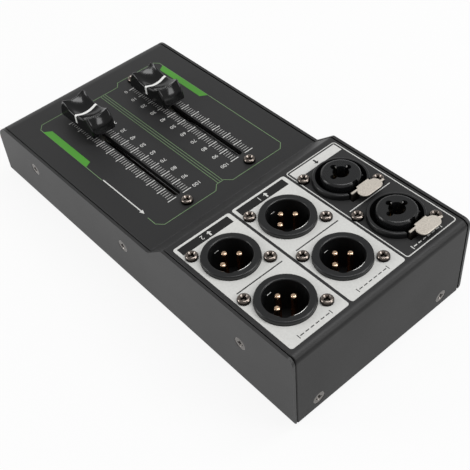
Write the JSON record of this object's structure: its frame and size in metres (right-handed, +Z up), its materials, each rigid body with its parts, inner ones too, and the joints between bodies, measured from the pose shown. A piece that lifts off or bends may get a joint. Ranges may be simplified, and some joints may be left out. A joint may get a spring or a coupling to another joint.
{
  "type": "passive volume controller",
  "caption": "Desktop volume controller: low steel case with slide faders at the near end and round three-pin and combination sockets on a raised rear deck.",
  "frame": {"origin": "centre of the footprint, on the surface the feet stand on", "axes": "+X across the case to the user's right, +Y from the fader end to the socket end, +Z up"},
  "size_m": [0.09, 0.1886, 0.044],
  "materials": {
    "tray_paint": "fine textured satin",
    "cover_paint": "fine textured satin",
    "rubber": "matt",
    "nickel": "bright nickel",
    "steel": "plain",
    "contact": "pale gold flash",
    "champagne": "satin nickel",
    "housing": "fine grain",
    "knob_black": "gloss",
    "index_white": "satin",
    "slider": "plain",
    "track": "plain",
    "board": "satin",
    "plug": "plain",
    "cable": "satin"
  },
  "bodies": {
    "chassis": {"bottom_tray": "tray_paint", "end_screws": "nickel", "fader_board": "board", "fader_board_plug": "plug", "fader_screws": "nickel", "front_input_contacts": "contact", "front_input_insert": "housing", "front_input_latch_pin": "steel", "front_input_latch_spring": "steel", "front_input_socket": "housing", "left_fader_frame": "steel", "left_fader_rails": "steel", "left_fader_terminals": "contact", "left_fader_track": "track", "middle_front_output_pins": "contact", "middle_front_output_socket": "housing", "middle_rear_output_pins": "contact", "middle_rear_output_socket": "housing", "rear_input_contacts": "contact", "rear_input_insert": "housing", "rear_input_latch_pin": "steel", "rear_input_latch_spring": "steel", "rear_input_socket": "housing", "ribbon_cable": "cable", "right_fader_frame": "steel", "right_fader_rails": "steel", "right_fader_terminals": "contact", "right_fader_track": "track", "right_front_output_pins": "contact", "right_front_output_socket": "housing", "right_rear_output_pins": "contact", "right_rear_output_socket": "housing", "rubber_feet": "rubber", "side_screws": "nickel", "socket_board": "board", "socket_board_plug": "plug", "socket_screws": "nickel", "top_cover": "cover_paint"},
    "right_fader": {"right_fader_carriage": "slider", "right_fader_lever": "steel", "right_fader_wiper": "contact", "right_fader_knob": "knob_black", "right_fader_index_line": "index_white"},
    "left_fader": {"left_fader_carriage": "slider", "left_fader_lever": "steel", "left_fader_wiper": "contact", "left_fader_knob": "knob_black", "left_fader_index_line": "index_white"},
    "front_latch": {"front_input_latch": "champagne"},
    "rear_latch": {"rear_input_latch": "champagne"}
  },
  "joints": [
    {"name": "right_fader_travel", "type": "slide", "parent": "chassis", "child": "right_fader", "axis": [0, 0.9999, 0.0131], "range_m": [-0.00264, 0.05736]},
    {"name": "left_fader_travel", "type": "slide", "parent": "chassis", "child": "left_fader", "axis": [0, 0.9999, 0.0131], "range_m": [-0.00894, 0.05106]},
    {"name": "front_latch_hinge", "type": "hinge", "parent": "chassis", "child": "front_latch", "pos_m": [-0.0276, 0.05778, 0.03647], "axis": [1, 0, 0], "range_deg": [0, 7], "stiffness_Nm_per_rad": 0.05, "springref_deg": -3.44, "deforming": ["front_input_latch_spring"]},
    {"name": "rear_latch_hinge", "type": "hinge", "parent": "chassis", "child": "rear_latch", "pos_m": [-0.0276, 0.08598, 0.03684], "axis": [1, 0, 0], "range_deg": [0, 7], "stiffness_Nm_per_rad": 0.05, "springref_deg": -3.44, "deforming": ["rear_input_latch_spring"]}
  ]
}
